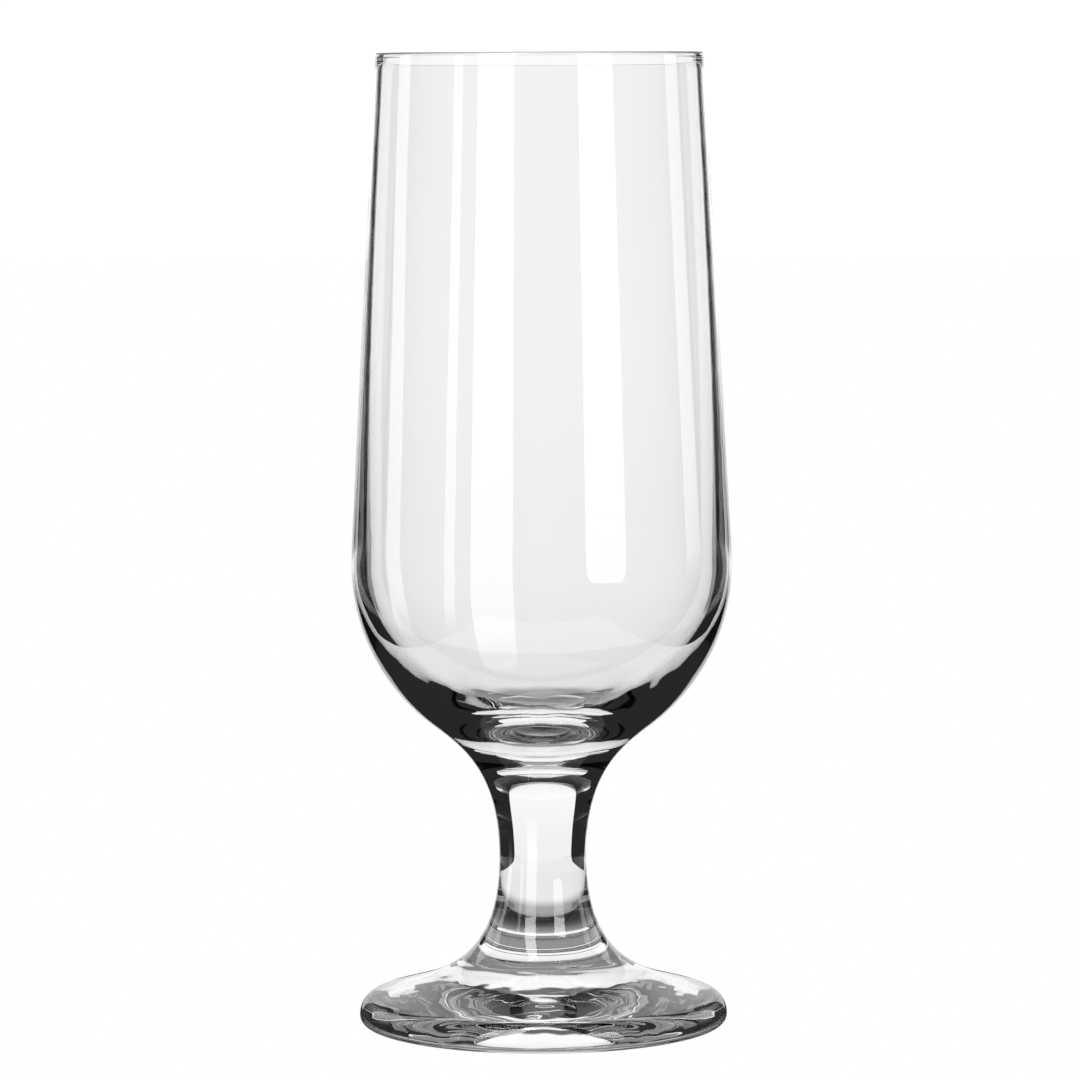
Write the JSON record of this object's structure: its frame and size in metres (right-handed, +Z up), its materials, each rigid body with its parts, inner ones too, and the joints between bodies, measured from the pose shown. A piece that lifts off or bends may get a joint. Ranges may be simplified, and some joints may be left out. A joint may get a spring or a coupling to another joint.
{
  "type": "pilsner glass",
  "caption": "Footed pilsner glass in clear glass: a tall bowl that tapers to a thin rounded rim, on a short solid waisted stem and a sloped round foot, for serving beer.",
  "frame": {"origin": "centre of the ring that the foot stands on, at table height", "axes": "+Z up along the axis of the glass; X and Y are alike, because the glass is round"},
  "size_m": [0.07, 0.07, 0.179],
  "materials": {
    "clear_glass": "clear, fire-polished"
  },
  "bodies": {
    "root": {"bowl": "clear_glass", "stem": "clear_glass", "foot": "clear_glass"}
  },
  "joints": []
}
